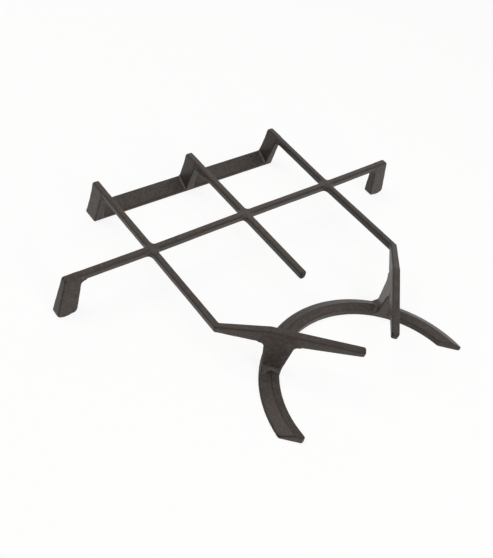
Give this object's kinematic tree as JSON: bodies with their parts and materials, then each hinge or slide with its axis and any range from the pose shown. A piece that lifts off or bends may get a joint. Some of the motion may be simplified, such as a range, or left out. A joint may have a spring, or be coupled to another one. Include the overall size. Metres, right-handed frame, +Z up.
{
  "type": "hob grate",
  "caption": "Cast iron pan support with crossing bars, a rear rail on splayed legs, end feet, and two raised fingers on a half ring that surrounds a large burner.",
  "frame": {"origin": "middle of the bounding box at the level of the hob plate that the casting stands on", "axes": "+X along the cross bar, +Y towards the rear rail, +Z up; the half ring is at -Y"},
  "size_m": [0.3376, 0.2686, 0.0446],
  "materials": {
    "iron": "satin coat over fine sand-cast grain"
  },
  "bodies": {
    "root": {"grate": "iron"}
  },
  "joints": []
}
